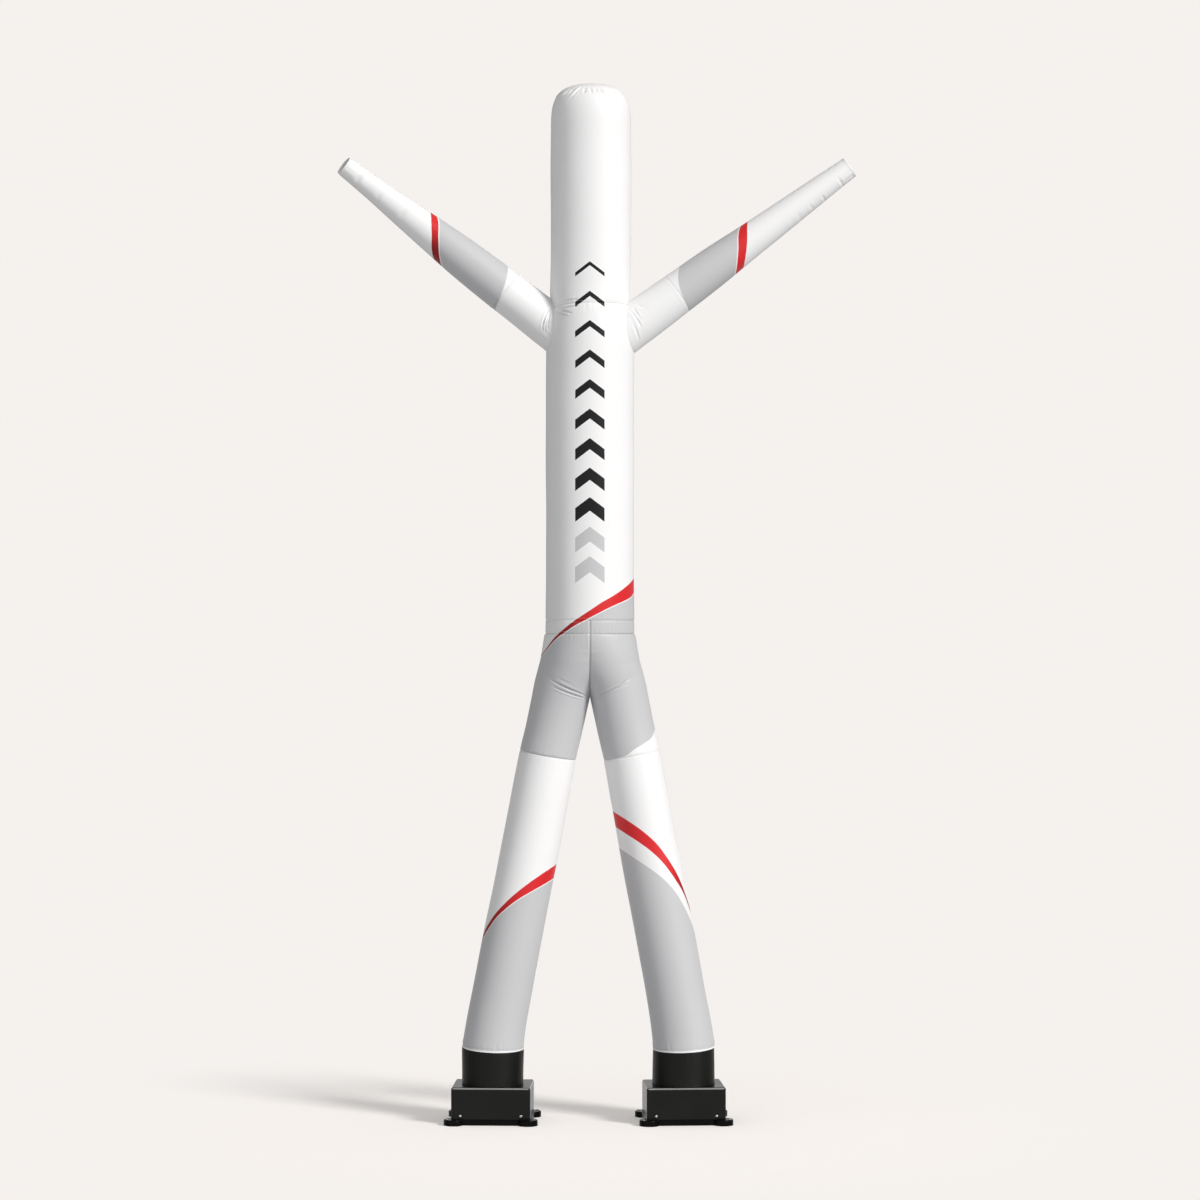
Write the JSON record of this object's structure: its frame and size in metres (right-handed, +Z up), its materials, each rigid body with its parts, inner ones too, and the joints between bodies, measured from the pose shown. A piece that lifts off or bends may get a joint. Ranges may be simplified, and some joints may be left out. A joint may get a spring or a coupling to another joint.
{
  "type": "inflatable air dancer, two-legged, on two box blowers",
  "caption": "Inflated cloth figure with two raised arms and two splayed legs, standing on box blowers that fill it with air.",
  "frame": {"origin": "on the floor, midway across the reach of the arms and midway from front to back", "axes": "+Z up, -Y out of the dancer's front, +X to the right of someone who faces it"},
  "size_m": [2.993, 0.512, 5.992],
  "materials": {
    "printed_nylon": "satin coated nylon, white with grey and red print",
    "cuff_cloth": "black coated cloth",
    "housing_plastic": "semi-gloss moulded plastic",
    "screw_steel": "bright plated steel"
  },
  "bodies": {
    "root": {"arm_root_left": "printed_nylon", "arm_root_right": "printed_nylon", "arm_sleeve_left": "printed_nylon", "arm_sleeve_right": "printed_nylon", "base_plate_left": "housing_plastic", "base_plate_right": "housing_plastic", "cuff_left": "cuff_cloth", "cuff_right": "cuff_cloth", "ear_screw_left_back_in": "screw_steel", "ear_screw_left_back_out": "screw_steel", "ear_screw_left_front_in": "screw_steel", "ear_screw_left_front_out": "screw_steel", "ear_screw_right_back_in": "screw_steel", "ear_screw_right_back_out": "screw_steel", "ear_screw_right_front_in": "screw_steel", "ear_screw_right_front_out": "screw_steel", "face_screw_left_back_in": "screw_steel", "face_screw_left_back_out": "screw_steel", "face_screw_left_front_in": "screw_steel", "face_screw_left_front_out": "screw_steel", "face_screw_right_back_in": "screw_steel", "face_screw_right_back_out": "screw_steel", "face_screw_right_front_in": "screw_steel", "face_screw_right_front_out": "screw_steel", "head_cap": "printed_nylon", "head_tube": "printed_nylon", "housing_left": "housing_plastic", "housing_right": "housing_plastic", "leg_left": "printed_nylon", "leg_right": "printed_nylon", "shorts_left": "printed_nylon", "shorts_right": "printed_nylon", "trunk_tube": "printed_nylon", "waist_band_left": "printed_nylon", "waist_band_right": "printed_nylon"}
  },
  "joints": []
}
